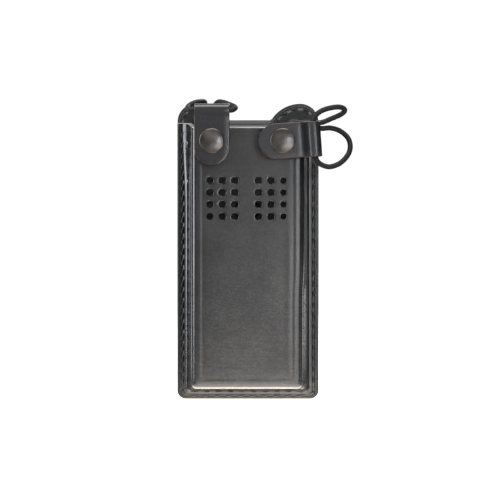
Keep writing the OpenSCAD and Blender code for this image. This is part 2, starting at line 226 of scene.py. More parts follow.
def leather(name, dark, light, rough, grain, coat=0.0, wrinkle=0.0, edge_and_highlight_colour=(0.03, 0.022, 0.017),
            sheen=0.5, painted_light_above=None):
    """Finished leather: pore grain, tone variation, patchy polish and cut edges in their own colour, which
    on the pocket's mouth rim is a painted highlight; where asked, a painted lit band above a height and
    painted shade and highlight in the wrinkles.
    """
    material = bpy.data.materials.new(name)
    n = Nodes(material)
    pores = n.cells(1500)
    fine = n.noise(900, 3, 0.6)
    tone = n.noise(45, 5, 0.6)
    patch = n.noise(14, 3, 0.5)
    shade = n.math("ADD", n.math("MULTIPLY", tone, 0.55), n.math("MULTIPLY", fine, 0.45))
    colour = n.mix(n.span(shade, 0.36, 0.64, 0, 1), dark, light)
    # painted light: above this height, between the ears, the colour turns to the pale edge colour, as if
    # lit by the top light
    if painted_light_above is not None:
        above = n.span(n.axis("Z"), painted_light_above, painted_light_above + 0.8 * MM, 0, 1)
        between_ears = n.span(n.math("ABSOLUTE", n.axis("X")), 11 * MM, 16 * MM, 1, 0)
        colour = n.mix(n.math("MULTIPLY", above, between_ears), colour, edge_and_highlight_colour)
    # cut edges take the edge colour: the paler raw edge on straps and sheets, and on the pocket's mouth
    # rim a painted highlight of the top light
    colour = n.mix(n.attribute("edge"), colour, edge_and_highlight_colour)
    roughness = n.span(n.math("ADD", n.math("MULTIPLY", patch, 0.7), n.math("MULTIPLY", fine, 0.3)),
                       0.3, 0.7, rough - 0.05, rough + 0.07)
    grain_height = n.math("ADD", n.math("MULTIPLY", pores, 0.6), n.math("MULTIPLY", fine, 0.5))
    normal = n.bump(grain_height, grain, 0.12 * MM)
    normal = n.bump(n.noise(220, 4, 0.6), grain * 0.6, 0.25 * MM, normal)
    polished = n.bump(grain_height, grain * 0.2, 0.10 * MM)
    if wrinkle:
        slanted = n.mapped((1.0, 1.0, 3.4), (0, math.radians(-38), 0))
        folds = n.noise(330, 4, 0.62, slanted, 1.2)
        lower = n.span(n.axis("Z"), FOOT_Z + 0.55 * MOUTH_REAR, FOOT_Z + 0.3 * MOUTH_REAR, 0.25, 1)
        normal = n.bump(n.math("MULTIPLY", folds, lower), wrinkle, 0.3 * MM, normal)
        polished = n.bump(n.math("MULTIPLY", folds, lower), wrinkle * 0.6, 0.2 * MM, polished)
        # painted shade and highlight: the colour follows the wrinkle bump, darker in its troughs and
        # lighter on its ridges, in the lower face
        crease_shade = n.span(folds, 0.35, 0.65, 0.55, 1.5)
        crease_shaded = n.math("ADD", n.math("MULTIPLY", crease_shade, lower), n.math("SUBTRACT", 1.0, lower))
        scaled = n.add("ShaderNodeVectorMath", operation="SCALE")
        n.link(colour, scaled.inputs[0])
        n.link(crease_shaded, scaled.inputs["Scale"])
        colour = scaled.outputs[0]
    # the face is rubbed duller than the sides
    facing = n.axis("Y", n.add("ShaderNodeNewGeometry").outputs["True Normal"])
    n.set(Base_Color=colour, Roughness=roughness, Normal=normal, Specular_IOR_Level=sheen,
          Coat_Weight=coat, Coat_Normal=polished, Coat_Roughness=n.span(facing, -0.97, -0.85, 0.36, 0.08))
    return material


def metal(name, dark, light, rough):
    """Plated metal: fine brushing, slight tarnish and roughness variation."""
    material = bpy.data.materials.new(name)
    n = Nodes(material)
    tarnish = n.noise(160, 5, 0.6)
    fine = n.noise(1600, 2, 0.5)
    colour = n.mix(n.span(tarnish, 0.35, 0.7, 0, 1), dark, light)
    n.set(Base_Color=colour, Metallic=1.0,
          Roughness=n.span(tarnish, 0.3, 0.75, rough - 0.05, rough + 0.08),
          Normal=n.bump(fine, 0.12, 0.05 * MM))
    return material


def thread_material():
    """Waxed thread: fine fibres and a faint sheen."""
    material = bpy.data.materials.new("waxed_thread")
    n = Nodes(material)
    fibres = n.noise(2600, 2, 0.6)
    n.set(Base_Color=n.mix(fibres, (0.004, 0.004, 0.005), (0.02, 0.02, 0.022)),
          Roughness=n.span(fibres, 0.3, 0.7, 0.45, 0.65),
          Normal=n.bump(fibres, 0.3, 0.08 * MM))
    return material


def cord_material():
    """Woven sheath of the elastic cord: painted shade between the strands of the braid, with fibre fuzz.
    """
    material = bpy.data.materials.new("cord_sheath")
    n = Nodes(material)
    braid = n.attribute("braid")
    fibres = n.noise(3000, 2, 0.6)
    # painted shade: darker where the braid value is low, between the strands, and lighter on top of them
    n.set(Base_Color=n.mix(braid, (0.003, 0.003, 0.0035), (0.010, 0.010, 0.011)),
          Roughness=n.span(fibres, 0.3, 0.7, 0.5, 0.7),
          Normal=n.bump(fibres, 0.35, 0.08 * MM), Specular_IOR_Level=0.25)
    return material


# the moulded leather's near-white edge colour is a painted highlight on the mouth rim, only partly the raw
# cut edge
MOULDED = leather("moulded_leather", (0.006, 0.006, 0.0062), (0.019, 0.0185, 0.0185), rough=0.4, grain=1.0,
                  coat=1.0, wrinkle=1.0, edge_and_highlight_colour=(0.6, 0.58, 0.56), sheen=0.0)
PANEL = leather("panel_leather", (0.010, 0.010, 0.011), (0.022, 0.021, 0.022), rough=0.38, grain=0.5,
                coat=0.1)
# the lining's dark tone is partly painted shade for the inside of the pocket seen through the holes, and
# its band above the mouth is painted lit
LINING = leather("lining_leather", (0.005, 0.005, 0.005), (0.010, 0.010, 0.010), rough=0.6, grain=0.6,
                 edge_and_highlight_colour=(0.14, 0.135, 0.133), painted_light_above=FOOT_Z + MOUTH_REAR - 3 * MM)
TAB = leather("tab_leather", (0.006, 0.006, 0.008), (0.012, 0.0115, 0.0145), rough=0.31, grain=0.35,
              edge_and_highlight_colour=(0.035, 0.022, 0.014))
THREAD = thread_material()
CORD = cord_material()
SNAP = metal("snap_gunmetal", (0.075, 0.069, 0.064), (0.11, 0.10, 0.092), 0.34)
# painted shade: the swivel burr's near-black steel stands in for the dark inside of the pocket seen
# through the holes; the stud rivets share this material
BLACK_OXIDE_AND_SHADE = metal("black_steel_and_painted_shade", (0.012, 0.012, 0.012), (0.03, 0.028, 0.026), 0.5)
NICKEL = metal("dull_nickel", (0.36, 0.35, 0.33), (0.5, 0.48, 0.45), 0.33)

# ---------- mesh helpers ----------

def add_object(name, data):
    """A new object in the scene."""
    thing = bpy.data.objects.new(name, data)
    bpy.context.scene.collection.objects.link(thing)
    return thing


def mesh_piece(name, verts, faces, material, sharp=35):
    """A shaded object from points and faces, with its normals pointing out."""
    mesh = bpy.data.meshes.new(name)
    mesh.from_pydata([tuple(v) for v in verts], [], faces)
    bm = bmesh.new()
    bm.from_mesh(mesh)
    bmesh.ops.remove_doubles(bm, verts=bm.verts, dist=1e-7)
    bmesh.ops.recalc_face_normals(bm, faces=bm.faces)
    bm.to_mesh(mesh)
    bm.free()
    finish_mesh(mesh, material, sharp)
    piece = add_object(name, mesh)
    return piece


def finish_mesh(mesh, material, sharp=35):
    """One material, and smooth shading up to this angle."""
    mesh.materials.clear()
    mesh.materials.append(material)
    for face in mesh.polygons:
        face.use_smooth = True
        face.material_index = 0
    mesh.set_sharp_from_angle(angle=math.radians(sharp))


def store(piece, name, values):
    """Keeps a number for each of the piece's points, for its material to read."""
    attribute = piece.data.attributes.new(name, "FLOAT", "POINT")
    for item, value in zip(attribute.data, values):
        item.value = value


def stand_for(piece, body, *nodes):
    """Rides the piece on its body in place of these CAD nodes."""
    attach(piece, body)
    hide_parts(*nodes)
    return piece


def cut(piece, cutter):
    """Takes the cutter's volume out of the piece."""
    modifier = piece.modifiers.new("cut", "BOOLEAN")
    modifier.operation = "DIFFERENCE"
    modifier.solver = "EXACT"
    modifier.object = cutter
    graph = bpy.context.evaluated_depsgraph_get()
    mesh = bpy.data.meshes.new_from_object(piece.evaluated_get(graph))
    piece.modifiers.clear()
    piece.data = mesh
    bpy.data.objects.remove(cutter)
    finish_mesh(mesh, mesh.materials[0])
    return piece


def ring_faces(rings, per, start=0):
    """Faces that join closed rings of points, one ring after the other."""
    faces = []
    for i in range(start, start + (rings - 1) * per, per):
        for j in range(per):
            k = (j + 1) % per
            faces.append([i + j, i + k, i + per + k, i + per + j])
    return faces


def lathe(profile, centre, steps, start=0):
    """Verts and faces of a turned part. The profile is (radius, distance along -Y) pairs."""
    verts, faces = [], []
    count = len(profile)
    for i in range(steps):
        a = 2 * math.pi * i / steps
        for radius, along in profile:
            verts.append(centre + Vector((radius * math.cos(a), -along, radius * math.sin(a))))
    for i in range(steps):
        j = (i + 1) % steps
        for k in range(count - 1):
            faces.append([start + i * count + k, start + i * count + k + 1,
                          start + j * count + k + 1, start + j * count + k])
    return verts, faces


def plug(centre, radius, length, steps):
    """A plain round cutter that runs forwards from its centre."""
    profile = [(0, 0), (radius, 0), (radius, length), (0, length)]
    verts, faces = lathe(profile, centre, steps)
    return mesh_piece("plug", verts, faces, PANEL)


def smooth_path(points, step):
    """Evenly sampled points of a centripetal-like spline through the given ones."""
    dense = []
    padded = [points[0] * 2 - points[1]] + list(points) + [points[-1] * 2 - points[-2]]
    for a, b, c, d in zip(padded, padded[1:], padded[2:], padded[3:]):
        for i in range(24):
            t = i / 24
            dense.append(0.5 * ((2 * b) + (c - a) * t + (2 * a - 5 * b + 4 * c - d) * t * t
                                + (3 * b - a - 3 * c + d) * t ** 3))
    dense.append(points[-1])
    even, travelled, target = [dense[0]], 0.0, step
    for a, b in zip(dense, dense[1:]):
        length = (b - a).length
        while travelled + length >= target and length > 0:
            even.append(a.lerp(b, (target - travelled) / length))
            target += step
        travelled += length
    if (even[-1] - dense[-1]).length > step * 0.3:
        even.append(dense[-1])
    return even


def path_frames(path):
    """Tangent and two side directions at each point, without twisting."""
    tangents = []
    for i in range(len(path)):
        ahead = path[min(i + 1, len(path) - 1)]
        behind = path[max(i - 1, 0)]
        tangents.append((ahead - behind).normalized())
    side = tangents[0].orthogonal().normalized()
    frames = []
    for tangent in tangents:
        side = (side - tangent * side.dot(tangent)).normalized()
        frames.append((tangent, side, tangent.cross(side)))
    return frames


def tube(path, radius_at, around=12, start=0):
    """Verts and faces of a tube with closed ends. radius_at(i, angle) gives its radius."""
    verts = []
    for i, (point, (_, side, up)) in enumerate(zip(path, path_frames(path))):
        for j in range(around):
            a = 2 * math.pi * j / around
            verts.append(point + (side * math.cos(a) + up * math.sin(a)) * radius_at(i, a))
    faces = ring_faces(len(path), around, start)
    faces.append([start + j for j in range(around)][::-1])
    faces.append([start + (len(path) - 1) * around + j for j in range(around)])
    return verts, faces


def arc_points(cx, cy, r, a0, a1, steps):
    """Evenly spaced points of an arc between two angles in degrees."""
    angles = [math.radians(a0 + (a1 - a0) * i / steps) for i in range(steps + 1)]
    return [(cx + r * math.cos(a), cy + r * math.sin(a)) for a in angles]


# ---------- outlines ----------

FILLET_R = 2.5 * MM
EAR_OUTER_R = HALF_W - EAR_X
EAR_OUTER_H = CREST_H - EAR_OUTER_R
EAR_INNER_H = CREST_H - EAR_INNER_R


def panel_outline():
    """Half-open list of points round the back panel, anticlockwise in x and height."""
    rise = STRAIGHT_TOP + FILLET_R - EAR_INNER_H
    fillet_x = EAR_X - math.sqrt((EAR_INNER_R + FILLET_R) ** 2 - rise ** 2)
    ear_end = 180 - math.degrees(math.asin(rise / (EAR_INNER_R + FILLET_R)))
    right = [(HALF_W, CORNER_R + (EAR_OUTER_H - CORNER_R) * i / 40) for i in range(1, 40)]
    right += arc_points(EAR_X, EAR_OUTER_H, EAR_OUTER_R, 0, 90, 18)
    right += arc_points(EAR_X, EAR_INNER_H, EAR_INNER_R, 90, ear_end, 18)[1:]
    right += arc_points(fillet_x, STRAIGHT_TOP + FILLET_R, FILLET_R, ear_end - 180, -90, 6)[1:]
    right += [(fillet_x * (1 - i / 5), STRAIGHT_TOP) for i in range(1, 5)]
    corner = arc_points(HALF_W - CORNER_R, CORNER_R, CORNER_R, -90, 0, 10)
    half = [((HALF_W - CORNER_R) * i / 12, 0) for i in range(12)] + corner + right
    mirrored = [(-x, h) for x, h in half[1:]][::-1]
    return half + [(0, STRAIGHT_TOP)] + mirrored


def inset_outline(points, distance):
    """The outline moved inwards along its own normals."""
    moved = []
    count = len(points)
    for i in range(count):
        ax, ay = points[i - 1]
        bx, by = points[(i + 1) % count]
        dx, dy = bx - ax, by - ay
        length = math.hypot(dx, dy)
        moved.append((points[i][0] - dy / length * distance, points[i][1] + dx / length * distance))
    return moved


def slab(name, outline, sections, material, sharp=50):
    """A leather sheet. Sections are (inset, depth) pairs that run round its edge, back to front."""
    verts = []
    count = len(outline)
    for inset, depth in sections:
        verts += [row_point(x, depth, h) for x, h in inset_outline(outline, inset)]
    faces = ring_faces(len(sections), count)
    faces.append(list(range(count))[::-1])
    faces.append([(len(sections) - 1) * count + i for i in range(count)])
    piece = mesh_piece(name, verts, faces, material, sharp)
    mark_edges(piece, sections[0][1], sections[-1][1])
    return piece


def mark_edges(piece, back, front):
    """Gives the cut edge of a sheet the value 1 in its edge attribute."""
    middle = (back + front) / 2
    reach = abs(front - back) / 2
    store(piece, "edge", [1.0 if abs(BACK_Y - v.co.y - middle) < reach * 0.75 else 0.0
                          for v in piece.data.vertices])


def groove(centre, width, deep, surface, sign):
    """Sections of a shallow groove in a face, at its distance from the edge."""
    return [(centre - width / 2, surface), (centre - width / 4, surface - sign * deep),
            (centre + width / 4, surface - sign * deep), (centre + width / 2, surface)]


def rounded_edge(r, surface, sign):
    """Sections that turn from a sheet's cut edge onto its face."""
    return [(r * (1 - math.cos(a)), surface - sign * r * (1 - math.sin(a)))
            for a in (math.radians(degrees) for degrees in (0, 30, 60, 90))]


def stitched_face(surface, sign):
    """Sections of the crease line and the stitch groove, from the edge inwards."""
    crease = groove(1.3 * MM, 0.5 * MM, 0.2 * MM, surface, sign)
    return crease + groove(STITCH_INSET, 1.7 * MM, 0.35 * MM, surface, sign)


# ---------- back panel, lining and ear patches ----------

EYELET_R = 3.72 * MM


def eyelet_cutter(node):
    """A plug through the leather where an eyelet sits."""
    low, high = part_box(node)
    centre = box_centre(node)
    centre.y = high.y + 2 * MM
    return plug(centre, EYELET_R, high.y - low.y + 4 * MM, 32)


def build_sheets():
    """The back panel and its lining, both with holes for the eyelets."""
    outline = panel_outline()
    panel_back = rounded_edge(0.7 * MM, 0, -1) + stitched_face(0, -1)
    panel = slab("rear_panel_leather", outline, panel_back[::-1] + rounded_edge(0.7 * MM, PANEL_T, 1),
                 PANEL)
    lining_front = rounded_edge(0.4 * MM, FLANGE_D, 1) + stitched_face(FLANGE_D, 1)
    lining = slab("rear_lining_leather", outline, rounded_edge(0.4 * MM, PANEL_T, -1)[::-1] + lining_front,
                  LINING)
    for piece in (panel, lining):
        for node in ("left_eyelet", "right_eyelet"):
            cut(piece, eyelet_cutter(node))
    stand_for(panel, "case", "rear_panel")
    stand_for(lining, "case", "rear_lining")


def build_ear_patch(side_name, side):
    """Padded patch inside the ear's stitches, domed at its edges."""
    low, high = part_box(side_name + "_ear_patch")
    inset = 4.5 * MM
    low_h = MOUTH_REAR + 1 * MM
    foot_h = 147 * MM
    inner_x = BASE_HALF - SHELL_T - 0.8 * MM
    left_x = EAR_X - EAR_INNER_R + inset
    points = arc_points(EAR_X, EAR_OUTER_H, EAR_OUTER_R - inset, 0, 90, 16)
    points += arc_points(EAR_X, EAR_INNER_H, EAR_INNER_R - inset, 90, 180, 26)[1:]
    points += [(left_x, EAR_INNER_H + (foot_h - EAR_INNER_H) * i / 3) for i in range(1, 4)]
    points += [(left_x + (inner_x - left_x) * i / 8, foot_h) for i in range(1, 9)]
    points += [(inner_x, foot_h + (low_h - foot_h) * i / 8) for i in range(1, 9)]
    points += [(EAR_X + EAR_OUTER_R - inset, low_h)]
    if side < 0:
        points = [(-x, h) for x, h in points][::-1]
    back, front = FLANGE_D, BACK_Y - low.y
    dome = [(0, back), (0.05 * MM, back + 0.5 * MM), (0.35 * MM, front - 0.3 * MM),
            (1.0 * MM, front - 0.05 * MM), (1.8 * MM, front)]
    patch = slab(side_name + "_ear_patch_leather", points, dome, TAB)
    cut(patch, eyelet_cutter(side_name + "_eyelet"))
    stand_for(patch, "case", side_name + "_ear_patch")


# ---------- moulded front ----------

def shell_profile():
    """Outer section of the shell from the flange's edge to the face's middle.

    Each entry is (half width, bottom height, depth). The bottom follows the side at its own scale."""
    flange = rounded_edge(0.8 * MM, WALL_D, 1) + groove(1.35 * MM, 0.6 * MM, 0.25 * MM, WALL_D, 1)
    flange += groove(STITCH_INSET, 1.9 * MM, 0.4 * MM, WALL_D, 1) + [(4.4 * MM, WALL_D)]
    scale = FLOOR_BASE / (HALF_W - BASE_HALF)
    entries = [(HALF_W - inset, inset * scale, depth) for inset, depth in flange]
    slope = (BASE_HALF - FACE_HALF) / (FACE_D - WALL_D)
    rise = (FLOOR_FACE - FLOOR_WALL) / (FACE_D - WALL_D)

    def wall_bottom(depth):
        """Height of the underside, which drops a little at the foot of the wall."""
        foot = max(1 - (depth - WALL_D) / (1.5 * MM), 0.0)
        return FLOOR_WALL + (depth - WALL_D) * rise - 1.1 * MM * foot

    cove = 0.5 * MM
    for i in range(5):
        a = math.radians(90 * (i + 1) / 6)
        depth = WALL_D + cove * (1 - math.cos(a))
        out = cove * (1 - math.sin(a))
        entries.append((BASE_HALF + out, wall_bottom(depth) - out * 0.3, depth))
    wall_end = FACE_D - EDGE_R
    for i in range(20):
        depth = WALL_D + cove + (wall_end - WALL_D - cove) * (i / 19) ** 1.4
        entries.append((BASE_HALF - (depth - WALL_D) * slope, wall_bottom(depth), depth))
    half, bottom, depth = entries[-1]
    for i in range(1, 9):
        a = math.radians(90 * i / 8)
        entries.append((half - EDGE_R * (1 - math.cos(a)) * 0.95,
                        bottom + EDGE_R * (1 - math.cos(a)) * 0.8,
                        depth + EDGE_R * math.sin(a)))
    half, bottom, depth = entries[-1]
    bead = ((0.4, 0.06), (0.9, 0.10), (1.4, 0.06), (1.9, -0.02), (2.5, -0.07), (3.2, -0.04), (4.2, 0.0))
    for inset, lift in bead:
        entries.append((half - inset * MM, bottom + inset * MM, depth + lift * MM))
    half, bottom, depth = entries[-1]
    rings = 16
    for i in range(1, rings + 1):
        left = half * (1 - i / rings)
        entries.append((left, bottom + half - left, depth))
    return entries


def inner_profile(outer):
    """The same section moved inwards by the leather's thickness, flat behind the flange."""
    inner = []
    for i, (half, bottom, depth) in enumerate(outer):
        if depth < WALL_D + 0.5 * MM and half > BASE_HALF + 0.1 * MM:
            inner.append((half, bottom, FLANGE_D))
            continue
        before, after = outer[max(i - 1, 0)], outer[min(i + 1, len(outer) - 1)]
        dx, dd = after[0] - before[0], after[2] - before[2]
        length = math.hypot(dx, dd)
        nx, nd = dd / length, -dx / length
        reach = max(half - nx * SHELL_T, 0.0)
        inner.append((reach, bottom + nx * SHELL_T, max(depth - nd * SHELL_T, FLANGE_D)))
    return inner


SIDE_ROWS = 72
CORNER_ROWS = 7
BOTTOM_ROWS = 22


def mouth_height(depth):
    """Height of the shell's mouth, which slopes down towards the face."""
    share = min(max((depth - WALL_D) / (FACE_D - WALL_D), 0), 1)
    return MOUTH_REAR + (MOUTH_FRONT - MOUTH_REAR) * share


TOP_STEPS = (0.0, 0.5, 1.0, 1.4, 1.8, 2.2, 2.6, 3.2)
CREASE_AT = 1.8 * MM


def ring_points(half, bottom, depth, corner, top):
    """Points down the left side, round the bottom and up the right side."""
    r = min(corner, max(half, 1e-6))
    start = top - 4 * MM
    side = [(half, top - step * MM) for step in TOP_STEPS]
    side += [(half, start + (bottom + r - start) * i / SIDE_ROWS) for i in range(SIDE_ROWS)]
    turn = [(half - r + r * math.cos(math.radians(90 * i / CORNER_ROWS)),
             bottom + r - r * math.sin(math.radians(90 * i / CORNER_ROWS)))
            for i in range(CORNER_ROWS + 1)]
    flat = half - r
    base = [(flat - 2 * flat * i / BOTTOM_ROWS, bottom) for i in range(1, BOTTOM_ROWS)]
    right = side + turn
    left = [(-x, h) for x, h in right][::-1]
    return [(x, depth, h) for x, h in right + base + left]


def smooth(value, low, high):
    """Smooth step from 0 at low to 1 at high."""
    t = min(max((value - low) / (high - low), 0.0), 1.0)
    return t * t * (3 - 2 * t)


def wall_shift(x, depth, h):
    """How far the side wall leans from its plain slope: the left wall's foot spreads like a skirt, most
    at the mouth, and the lower right wall is pressed in above its foot."""
    inward = smooth(HALF_W - abs(x), 3.9 * MM, 5.6 * MM) * smooth(abs(x), 20 * MM, 28 * MM)
    rise = depth - WALL_D
    if inward == 0.0 or rise < -0.1 * MM:
        return 0.0
    if x < 0:
        at_mouth = smooth(h, 110 * MM, 158 * MM)
        spread, reach = (1.3 + 1.5 * at_mouth) * MM, (1.4 + 1.8 * at_mouth) * MM
        return -spread * inward * max(1 - rise / reach, 0.0)
    low = 1 - smooth(h, 56 * MM, 80 * MM)
    pressed = 1.9 * low * smooth(rise, 8 * MM, 19 * MM) * (1 - 0.6 * smooth(rise, 22 * MM, 37 * MM))
    return -pressed * MM * inward + 0.3 * MM * inward * max(1 - rise / (3 * MM), 0.0)


def hand_moulding(x, depth, h):
    """Small unevenness that wet-moulded leather keeps, as a shift of the point."""
    p = Vector((x, depth, h)) * 38
    share = min(max((depth - WALL_D) / (3 * MM), 0), 1)
    return (noise.noise(p) * 0.16 * MM + noise.noise(p * 3.1) * 0.05 * MM) * share


def face_relief(x, depth, h, top):
    """The face bellies out between its edges, with a shoulder at the right and a crease at the top."""
    if depth < FACE_D - 1.5 * MM:
        return 0.0
    across = max(0.0, 1 - (x / (28 * MM)) ** 4)
    along = max(0.0, 1 - ((h - 80 * MM) / (78 * MM)) ** 4)
    belly = 0.25 * MM * across * along
    lower = 1 - 0.8 * smooth(h, 86 * MM, 108 * MM)
    shoulder = 0.16 * MM * math.exp(-((x - 23.5 * MM) / (1.6 * MM)) ** 2) * along * lower
    crease = -0.22 * MM * math.exp(-((top - h - CREASE_AT) / (0.45 * MM)) ** 2)
    return belly + shoulder + crease


def build_shell():
    """The moulded pocket: an outer and an inner skin joined along the flange and the mouth."""
    outer = shell_profile()
    inner = inner_profile(outer)
    count = len(outer)
    row = len(ring_points(10 * MM, 0, 0, MM, 100 * MM))
    verts, faces = [], []

    def add_skin(profile, is_outer):
        """The points of one face of the leather."""
        for half, bottom, depth in profile:
            top = mouth_height(depth) - 0.45 * MM
            corner = CORNER_R - (HALF_W - half) if depth <= WALL_D else 3.0 * MM
            corner = max(corner, 2.2 * MM)
            for x, d, h in ring_points(half, bottom, depth, corner, top):
                shift = hand_moulding(x, d, h)
                d_new = d + face_relief(x, depth, h, top) + (shift if is_outer or d > WALL_D else 0)
                verts.append(row_point(x * (1 + shift * 6) + wall_shift(x, d, h), d_new, h))

    add_skin(outer, True)
    add_skin(inner, False)
    base = count * row
    for k in range(count - 1):
        for i in range(row - 1):
            a, b = k * row + i, (k + 1) * row + i
            faces.append([a, a + 1, b + 1, b])
            faces.append([base + a, base + b, base + b + 1, base + a + 1])
    for i in range(row - 1):
        faces.append([i, base + i, base + i + 1, i + 1])

    # rounded rim of the mouth, one strip for each step across the leather's thickness
    rim = ((0.1, 0.28), (0.3, 0.42), (0.7, 0.42), (0.9, 0.28))
    for end in (0, row - 1):
        lines = [[k * row + end for k in range(count)]]
        for share, lift in rim:
            line = []
            for k in range(count):
                p = verts[k * row + end].lerp(verts[base + k * row + end], share)
                line.append(len(verts))
                verts.append(p + Vector((0, 0, lift * MM)))
            lines.append(line)
        lines.append([base + k * row + end for k in range(count)])
        for a, b in zip(lines, lines[1:]):
            for k in range(count - 1):
                faces.append([a[k], a[k + 1], b[k + 1], b[k]])
    shell = mesh_piece("front_shell_leather", verts, faces, MOULDED, 60)
    bm = bmesh.new()
    bm.from_mesh(shell.data)
    bmesh.ops.remove_doubles(bm, verts=bm.verts, dist=0.02 * MM)
    bmesh.ops.dissolve_degenerate(bm, edges=bm.edges, dist=1e-6)
    bmesh.ops.holes_fill(bm, edges=[e for e in bm.edges if e.is_boundary], sides=8)
    bmesh.ops.recalc_face_normals(bm, faces=bm.faces)
    bm.to_mesh(shell.data)
    bm.free()
    cut(shell, speaker_cutters())
    # painted highlight: the mouth's rounded rim takes the pale edge colour where the top light would catch
    # it, partly the raw cut edge
    store(shell, "edge", [0.8 if v.co.z - FOOT_Z > mouth_height(BACK_Y - v.co.y) - 0.4 * MM else 0.0
                          for v in shell.data.vertices])
    stand_for(shell, "case", "front_shell")


def speaker_cutters():
    """Punches for the loudspeaker holes, flared at both faces of the leather."""
    verts, faces = [], []
    for side in (-1, 1):
        for column in (-1, 0, 1):
            for line in range(4):
                r = LAST_HOLE_R if side == 1 and column == 1 else HOLE_R
                x = side * HOLE_BLOCK_X + HOLE_SHIFT + column * HOLE_PITCH_X
                front = 2.0 * MM
                bore = r - 0.25 * MM
                flare = [(0, -1.5 * MM), (r, -1.5 * MM), (r, -0.1 * MM), (bore, 0.35 * MM)]
                rim = [(bore, SHELL_T - 0.6 * MM), (bore + 0.06 * MM, SHELL_T - 0.3 * MM),
                       (bore + 0.2 * MM, SHELL_T - 0.05 * MM), (bore + 0.42 * MM, SHELL_T + 0.16 * MM),
                       (bore + 0.7 * MM, SHELL_T + 0.34 * MM), (bore + 0.7 * MM, SHELL_T + front),
                       (0, SHELL_T + front)]
                centre = row_point(x, FACE_D - SHELL_T, HOLE_BOTTOM + line * HOLE_PITCH_Z)
                v, f = lathe(flare + rim, centre, steps=28, start=len(verts))
                verts += v
                faces += f
    return mesh_piece("punches", verts, faces, MOULDED)


# ---------- thread ----------

def stitch(centre, along, out, length, slant, start):
    """One stitch: a slightly arched two-ply strand that dips into the leather at both ends."""
    across = along.cross(out)
    direction = (along * math.cos(slant) + across * math.sin(slant)).normalized()
    steps = 10
    path = []
    for i in range(steps + 1):
        t = 2 * i / steps - 1
        path.append(centre + direction * (t * length / 2) + out * (0.25 * MM - 0.95 * MM * t ** 4))

    def radius(i, a):
        """Radius of the strand, which tapers to its ends and shows its two plies."""
        taper = 1 - 0.35 * abs(2 * i / steps - 1) ** 3
        return THREAD_R * taper * (1 + 0.16 * math.cos(2 * a - i * 1.1))

    return tube(path, radius, 10, start)


def thread_line(name, places):
    """A piece of many stitches. Places are (centre, along, out, length, slant)."""
    verts, faces = [], []
    for centre, along, out, length, slant in places:
        v, f = stitch(centre, along, out, length, slant, len(verts))
        verts += v
        faces += f
    return mesh_piece(name, verts, faces, THREAD, 80)


FORWARD = Vector((0, -1, 0))
BACKWARD = Vector((0, 1, 0))


def both_faces(x, h, rear_h, front_depth, along, length, slant):
    """A stitch on the front of the leather and its partner on the back."""
    return [(row_point(x, front_depth - THREAD_SINK, h), along, FORWARD, length, slant),
            (row_point(x, THREAD_SINK, rear_h), along, BACKWARD, length, -slant)]


def perimeter_places():
    """Both faces of every stitch down the sides, round the corners and along the bottom."""
    side_x = HALF_W - STITCH_INSET
    bottom_h = STITCH_INSET * FLOOR_BASE / (HALF_W - BASE_HALF)
    first = STITCH_INSET + CORNER_R
    count = int((MOUTH_REAR - first) / STITCH_PITCH)
    spots = []
    for side in (-1, 1):
        for i in range(count):
            spots.append((side * side_x, first + (i + 0.5) * STITCH_PITCH, Vector((0, 0, 1))))
        spots.append((side * (side_x - 1.0 * MM), bottom_h + 1.6 * MM, Vector((side, 0, 1)).normalized()))
    flat = 2 * (side_x - 0.8 * CORNER_R)
    along_bottom = int(flat / STITCH_PITCH)
    for i in range(along_bottom):
        spots.append((flat * ((i + 0.5) / along_bottom - 0.5), bottom_h, Vector((1, 0, 0))))
    places = []
    for x, h, along in spots:
        slant = math.radians(14) if along.z > 0.5 else math.radians(-12)
        rear_h = STITCH_INSET if h < 2 * STITCH_INSET and along.x > 0.9 else h
        places += both_faces(x, h, rear_h, WALL_D, along, 4.9 * MM, slant)
    return places


def ear_places(side):
    """Stitches that follow the ear's edge, front and back."""
    outer = [(a, EAR_OUTER_H, EAR_OUTER_R - STITCH_INSET) for a in (24, 66)]
    inner = [(a, EAR_INNER_H, EAR_INNER_R - STITCH_INSET) for a in (102, 124, 146)]
    places = []
    for angle, centre_h, r in outer + inner:
        a = math.radians(angle)
        x, h = side * (EAR_X + r * math.cos(a)), centre_h + r * math.sin(a)
        along = Vector((-side * math.sin(a), 0, math.cos(a)))
        places += both_faces(x, h, h, FLANGE_D, along, 4.6 * MM, 0.15)
    return places


def build_thread():
    """All the stitches, one piece for each seam."""
    stand_for(thread_line("perimeter_thread", perimeter_places()), "case", "perimeter_stitching")
    for name, side in SIDES:
        stand_for(thread_line(name + "_ear_thread", ear_places(side)), "case", name + "_ear_stitching")
    low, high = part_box("belt_loop_stitching")
    along = Vector((1, 0, 0))
    z = (low.z + high.z) / 2
    places = []
    count = 6
    for i in range(count):
        x = low.x + (high.x - low.x) * (i + 0.5) / count
        places.append((Vector((x, high.y - THREAD_SINK, z)), along, BACKWARD, 4.9 * MM, 0.2))
        places.append((Vector((x, low.y + THREAD_SINK, z)), along, FORWARD, 4.9 * MM, 0.2))
    stand_for(thread_line("belt_loop_thread", places), "belt_loop", "belt_loop_stitching")


# ---------- straps ----------

